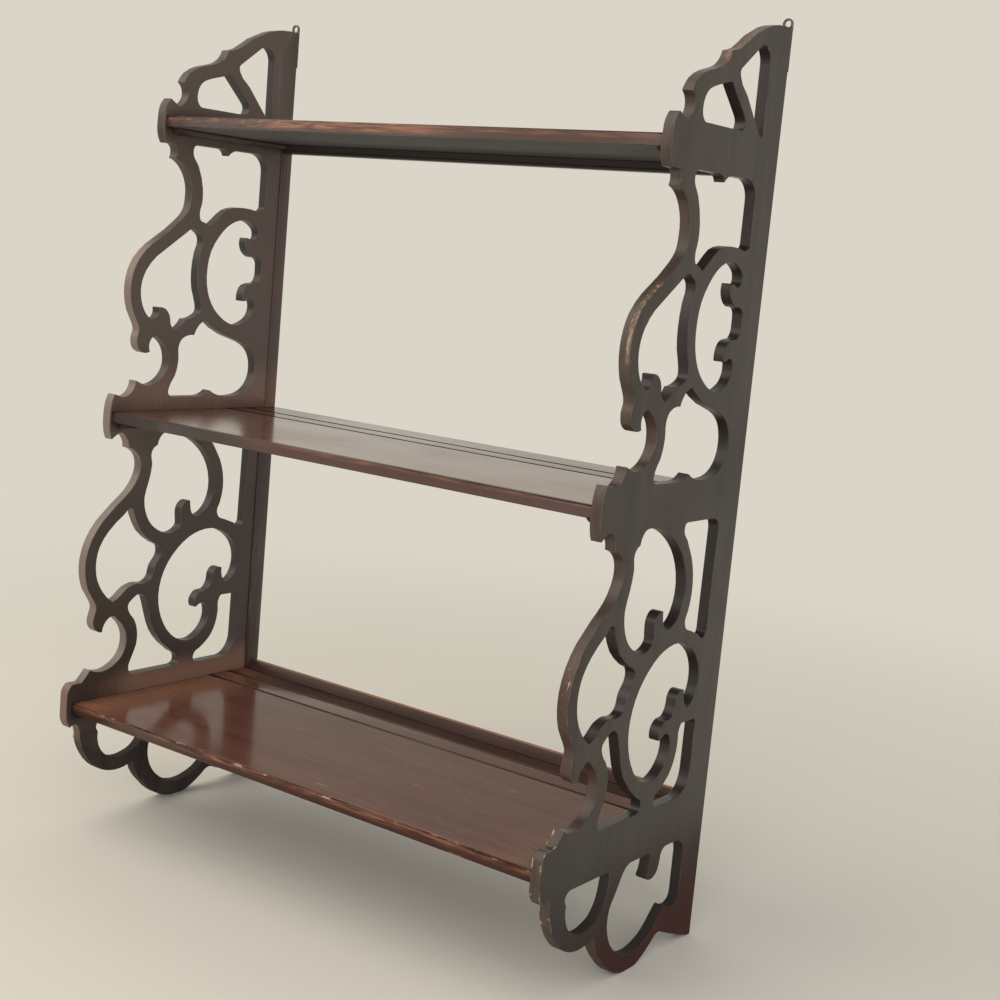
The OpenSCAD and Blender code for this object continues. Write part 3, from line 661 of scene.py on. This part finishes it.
cleats_polish = mahogany(
    "mahogany_cleats_brushed_polish", "Y", RAIL_TONES, (0.4, 0.4, 0.0),
    tones_and_painted_light=[((-PAST, -130, 0), (PAST, 130, 700), 5, 0.6, "#241d1a")],
)

for node in ("left_side", "right_side"):
    softened(node, 0.7, sides_polish, fretted=True)
for node, material in (
        ("bottom_shelf", bottom_polish), ("middle_shelf", middle_polish), ("top_shelf", top_polish)):
    softened(node, 1.0, material)
for node, arris_mm in (("top_back_rail", 0.4), ("bottom_back_rail", 0.8)):
    softened(node, arris_mm, rails_polish)
for node in ("upper_left_strip", "upper_right_strip", "lower_left_strip", "lower_right_strip"):
    softened(node, 0.4, strips_polish)
for shelf in ("top", "middle", "bottom"):
    for hand in ("left", "right"):
        softened(f"{shelf}_{hand}_cleat", 0.4, cleats_polish)

# Hanger plates: brass gone brown, rubbed brighter round the eye.
hanger_brass = dull_metal("brass_hanger_tarnished", ("#443b33", "#6d6053", "#a39886"), 0.42)
for node in ("left_hanger", "right_hanger"):
    softened(node, 0.35, hanger_brass)

# Screws and panel pins: mild steel gone grey-brown.
old_steel = dull_metal("steel_fixings_dulled", ("#4a4440", "#77706a", "#a9a39b"), 0.42)


# Screws and pins by geometry nodes.

def fixing_tree(name, inputs):
    """A geometry node tree with its sizes as named inputs, and its two end nodes."""
    tree = bpy.data.node_groups.new(name, "GeometryNodeTree")
    tree.interface.new_socket("Geometry", in_out="INPUT", socket_type="NodeSocketGeometry")
    tree.interface.new_socket("Geometry", in_out="OUTPUT", socket_type="NodeSocketGeometry")
    for label in inputs:
        tree.interface.new_socket(label, in_out="INPUT", socket_type="NodeSocketFloat")
    return tree, add(tree, "NodeGroupInput").outputs, add(tree, "NodeGroupOutput").inputs


def lay_out(tree, points, shape, out, material, seed):
    """Copies a shape to every point, aimed along its aim and turned by chance round its own axis."""
    aim = add(tree, "GeometryNodeInputNamedAttribute", {"Name": "aim"}, data_type="FLOAT_VECTOR")
    aimed = add(tree, "FunctionNodeAlignRotationToVector", {"Vector": aim.outputs[0]}, axis="Z")
    chance = add(tree, "FunctionNodeRandomValue", {
        "Min": 0.0, "Max": math.pi, "Seed": seed}, data_type="FLOAT")
    chance_out = next(o for o in chance.outputs if o.enabled)
    spin = add(tree, "FunctionNodeAxisAngleToRotation", {"Axis": (0, 0, 1), "Angle": chance_out})
    turned = add(tree, "FunctionNodeRotateRotation", {0: aimed, 1: spin}, rotation_space="LOCAL")
    copies = add(tree, "GeometryNodeInstanceOnPoints", {
        "Points": points, "Instance": shape, "Rotation": turned})
    solid = add(tree, "GeometryNodeRealizeInstances", {"Geometry": copies})
    done = add(tree, "GeometryNodeSetMaterial", {"Geometry": solid, "Material": material})
    tree.links.new(done.outputs[0], out)


def screw_tree(material):
    """Slotted countersunk wood screws, their heads' faces at the points."""
    tree, given, out = fixing_tree("slotted_countersunk_screws", [
        "Head Diameter", "Head Height", "Shank Diameter", "Length", "Slot Width", "Slot Depth"])
    head_r = add(tree, "ShaderNodeMath", {0: given["Head Diameter"], 1: 0.5}, operation="MULTIPLY")
    shank_r = add(tree, "ShaderNodeMath", {0: given["Shank Diameter"], 1: 0.5}, operation="MULTIPLY")
    head = add(tree, "GeometryNodeMeshCone", {
        "Vertices": 32, "Side Segments": 2, "Radius Top": head_r, "Radius Bottom": shank_r,
        "Depth": given["Head Height"]})
    below = add(tree, "ShaderNodeMath", {0: given["Head Height"], 1: -1.0}, operation="MULTIPLY")
    sink = add(tree, "ShaderNodeCombineXYZ", {"Z": below})
    head = add(tree, "GeometryNodeTransform", {"Geometry": head, "Translation": sink})
    slot_l = add(tree, "ShaderNodeMath", {0: given["Head Diameter"], 1: 1.2}, operation="MULTIPLY")
    slot_h = add(tree, "ShaderNodeMath", {0: given["Slot Depth"], 1: 2.0}, operation="MULTIPLY")
    slot_size = add(tree, "ShaderNodeCombineXYZ", {"X": slot_l, "Y": given["Slot Width"], "Z": slot_h})
    slot = add(tree, "GeometryNodeMeshCube", {"Size": slot_size})
    cut = add(tree, "GeometryNodeMeshBoolean", {"Mesh 1": head, "Mesh 2": slot}, operation="DIFFERENCE")
    shank_l = add(tree, "ShaderNodeMath", {
        0: given["Length"], 1: given["Head Height"]}, operation="SUBTRACT")
    shank = add(tree, "GeometryNodeMeshCylinder", {
        "Vertices": 24, "Side Segments": 6, "Radius": shank_r, "Depth": shank_l})
    drop = add(tree, "ShaderNodeMath", {0: shank_l, 1: -0.5, 2: below}, operation="MULTIPLY_ADD")
    shank = add(tree, "GeometryNodeTransform", {
        "Geometry": shank, "Translation": add(tree, "ShaderNodeCombineXYZ", {"Z": drop})})
    whole = add(tree, "GeometryNodeJoinGeometry")
    tree.links.new(shank.outputs[0], whole.inputs[0])
    tree.links.new(cut.outputs[0], whole.inputs[0])
    lay_out(tree, given["Geometry"], whole, out[0], material, 5)
    return tree


def pin_tree(material):
    """Panel pins with a low domed head and a point, their heads' tops at the points."""
    tree, given, out = fixing_tree("panel_pins", ["Diameter", "Length", "Head Height", "Point Length"])
    pin_r = add(tree, "ShaderNodeMath", {0: given["Diameter"], 1: 0.5}, operation="MULTIPLY")
    rod = add(tree, "GeometryNodeMeshCylinder", {
        "Vertices": 16, "Side Segments": 26, "Radius": pin_r, "Depth": given["Length"]})
    top = add(tree, "ShaderNodeMath", {0: given["Length"], 1: 0.5}, operation="MULTIPLY")
    foot = add(tree, "ShaderNodeMath", {0: given["Length"], 1: -0.5}, operation="MULTIPLY")
    under_head = add(tree, "ShaderNodeMath", {0: top, 1: given["Head Height"]}, operation="SUBTRACT")
    above_point = add(tree, "ShaderNodeMath", {0: foot, 1: given["Point Length"]}, operation="ADD")
    spot = add(tree, "ShaderNodeSeparateXYZ", {0: add(tree, "GeometryNodeInputPosition")}).outputs
    dome = add(tree, "ShaderNodeMapRange", {
        "Value": spot["Z"], "From Min": under_head, "From Max": top, "To Min": 1.0, "To Max": 0.6})
    point = add(tree, "ShaderNodeMapRange", {
        "Value": spot["Z"], "From Min": foot, "From Max": above_point, "To Min": 0.12, "To Max": 1.0})
    narrow = add(tree, "ShaderNodeMath", {0: dome, 1: point}, operation="MULTIPLY")
    profile = add(tree, "ShaderNodeCombineXYZ", {"X": narrow, "Y": narrow, "Z": 1.0})
    turned = add(tree, "ShaderNodeVectorMath", {
        0: add(tree, "GeometryNodeInputPosition"), 1: profile}, operation="MULTIPLY")
    lowered = add(tree, "ShaderNodeVectorMath", {
        0: turned, 1: add(tree, "ShaderNodeCombineXYZ", {"Z": top})}, operation="SUBTRACT")
    whole = add(tree, "GeometryNodeSetPosition", {"Geometry": rod, "Position": lowered})
    lay_out(tree, given["Geometry"], whole, out[0], material, 9)
    return tree


def fixings(node, name, tree, sizes, heads, material):
    """Lays the fixings of a node at their heads, each aimed out of the wood, as one plain mesh."""
    points = bpy.data.meshes.new(name + "_points")
    points.from_pydata([place for place, _ in heads], [], [])
    aim = points.attributes.new("aim", "FLOAT_VECTOR", "POINT")
    aim.data.foreach_set("vector", [c for _, way in heads for c in way])
    carrier = bpy.data.objects.new(name + "_carrier", points)
    bpy.context.scene.collection.objects.link(carrier)
    nodes = carrier.modifiers.new("fixings", "NODES")
    nodes.node_group = tree
    for item in tree.interface.items_tree:
        if item.item_type == "SOCKET" and item.in_out == "INPUT" and item.name in sizes:
            nodes[item.identifier] = sizes[item.name]
    seen = carrier.evaluated_get(bpy.context.evaluated_depsgraph_get())
    mesh = bpy.data.meshes.new_from_object(seen)
    bpy.data.objects.remove(carrier)
    shape = bmesh.new()
    shape.from_mesh(mesh)
    bmesh.ops.remove_doubles(shape, verts=shape.verts, dist=0.002 * MM)
    bmesh.ops.recalc_face_normals(shape, faces=shape.faces)
    shape.to_mesh(mesh)
    shape.free()
    mesh.materials.clear()
    mesh.materials.append(material)
    mesh.name = name
    piece = bpy.data.objects.new(name, mesh)
    bpy.context.scene.collection.objects.link(piece)
    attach(piece, "root")
    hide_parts(node)
    return piece


screws, cleat_pins, rail_pins = [], [], []
for low, high in solids_of("hanger_screws"):
    centre = (low + high) / 2
    screws.append((Vector((centre.x, high.y, centre.z)), Vector((0, 1, 0))))
    screw_d, screw_l = high.x - low.x, high.y - low.y
for low, high in solids_of("cleat_pins"):
    centre = (low + high) / 2
    out_x = -1.0 if centre.x > 0 else 1.0
    head_x = low.x if out_x < 0 else high.x
    cleat_pins.append((Vector((head_x, centre.y, centre.z)), Vector((out_x, 0, 0))))
    pin_d, cleat_pin_l = high.y - low.y, high.x - low.x
for low, high in solids_of("rail_pins"):
    centre = (low + high) / 2
    out_z = 1.0 if centre.z < 0.3 else -1.0
    head_z = high.z if out_z > 0 else low.z
    rail_pins.append((Vector((centre.x, centre.y, head_z)), Vector((0, 0, out_z))))
    rail_pin_l = high.z - low.z

fixings("hanger_screws", "hanger_screws_slotted", screw_tree(old_steel), {
    "Head Diameter": screw_d, "Head Height": screw_d * 0.28, "Shank Diameter": screw_d / 1.9,
    "Length": screw_l, "Slot Width": 0.7 * MM, "Slot Depth": 0.7 * MM}, screws, old_steel)
pins = pin_tree(old_steel)
fixings("cleat_pins", "cleat_panel_pins", pins, {
    "Diameter": pin_d, "Length": cleat_pin_l, "Head Height": 0.5 * MM, "Point Length": 2 * MM},
    cleat_pins, old_steel)
fixings("rail_pins", "rail_panel_pins", pins, {
    "Diameter": pin_d, "Length": rail_pin_l, "Head Height": 0.5 * MM, "Point Length": 2 * MM},
    rail_pins, old_steel)


# Floor, light and camera.

PALE = "#dad5c8"


def seen_directly(tree):
    """One for what the camera, a gloss or a clear material sees, nothing for plain light."""
    path = add(tree, "ShaderNodeLightPath").outputs
    share = path["Is Camera Ray"]
    for ray in ("Is Glossy Ray", "Is Transmission Ray"):
        share = add(tree, "ShaderNodeMath", {0: share, 1: path[ray]}, operation="MAXIMUM")
    return share


# Floor: matt pale board that fades into the backdrop's tone away from the rack.
floor_board, tree = new_material("pale_floor_board")
place = add(tree, "ShaderNodeTexCoord").outputs["Object"]
far = add(tree, "ShaderNodeVectorMath", {0: place}, operation="LENGTH").outputs["Value"]
speckle = add(tree, "ShaderNodeTexNoise", {"Vector": place, "Scale": 900.0, "Detail": 2.0})
board = add(tree, "ShaderNodeBsdfPrincipled", {
    "Base Color": glaze(tree, linear("#e4dfd3"), "#dfdacd", speckle), "Roughness": 0.75})
glow = add(tree, "ShaderNodeEmission", {"Color": linear(PALE), "Strength": 1.0})
away = add(tree, "ShaderNodeMapRange", {
    "Value": far, "From Min": 0.6, "From Max": 1.8}, interpolation_type="SMOOTHSTEP")
fade = add(tree, "ShaderNodeMath", {0: away, 1: seen_directly(tree)}, operation="MULTIPLY")
add(tree, "ShaderNodeOutputMaterial", {"Surface": add(tree, "ShaderNodeMixShader", {0: fade, 1: board, 2: glow})})

floor_mesh = bpy.data.meshes.new("floor")
shape = bmesh.new()
bmesh.ops.create_circle(shape, cap_ends=True, radius=12.0, segments=96)
shape.to_mesh(floor_mesh)
shape.free()
floor_mesh.materials.append(floor_board)
floor = bpy.data.objects.new("floor", floor_mesh)
bpy.context.scene.collection.objects.link(floor)

world = bpy.data.worlds.new("studio")
bpy.context.scene.world = world
world.use_nodes = True
tree = world.node_tree
tree.nodes.clear()
seen = add(tree, "ShaderNodeBackground", {"Color": linear(PALE), "Strength": 1.0})
light = add(tree, "ShaderNodeBackground", {"Color": linear("#f2f1ee"), "Strength": 0.62})
both = add(tree, "ShaderNodeMixShader", {0: seen_directly(tree), 1: light, 2: seen})
add(tree, "ShaderNodeOutputWorld", {"Surface": both})


def soft_lamp(name, place, aim, size, watts, tint):
    """A square soft lamp at a place, pointed at aim."""
    lamp = bpy.data.lights.new(name, "AREA")
    lamp.shape = "SQUARE"
    lamp.size = size
    lamp.energy = watts
    lamp.color = linear(tint)[:3]
    holder = bpy.data.objects.new(name, lamp)
    holder.location = place
    holder.rotation_euler = (Vector(aim) - Vector(place)).to_track_quat("-Z", "Y").to_euler()
    bpy.context.scene.collection.objects.link(holder)


# A warm key from the front left, high up, and a weaker fill from the front right.
soft_lamp("key", (-1.7, -1.7, 2.5), (0, 0, 0.35), 3.6, 60, "#fff6e8")
soft_lamp("fill", (1.5, -1.9, 1.0), (-0.2, 0, 0.35), 2.0, 30, "#f6f7ff")

camera_data = bpy.data.cameras.new("camera")
camera_data.lens = 57.42
camera_data.sensor_width = 36.0
camera = bpy.data.objects.new("camera", camera_data)
camera.location = (0.8901, -1.0748, 0.5717)
camera.rotation_euler = [math.radians(a) for a in (81.276, -5.151, 36.424)]
bpy.context.scene.collection.objects.link(camera)
bpy.context.scene.camera = camera
bpy.context.scene.view_settings.view_transform = "Standard"
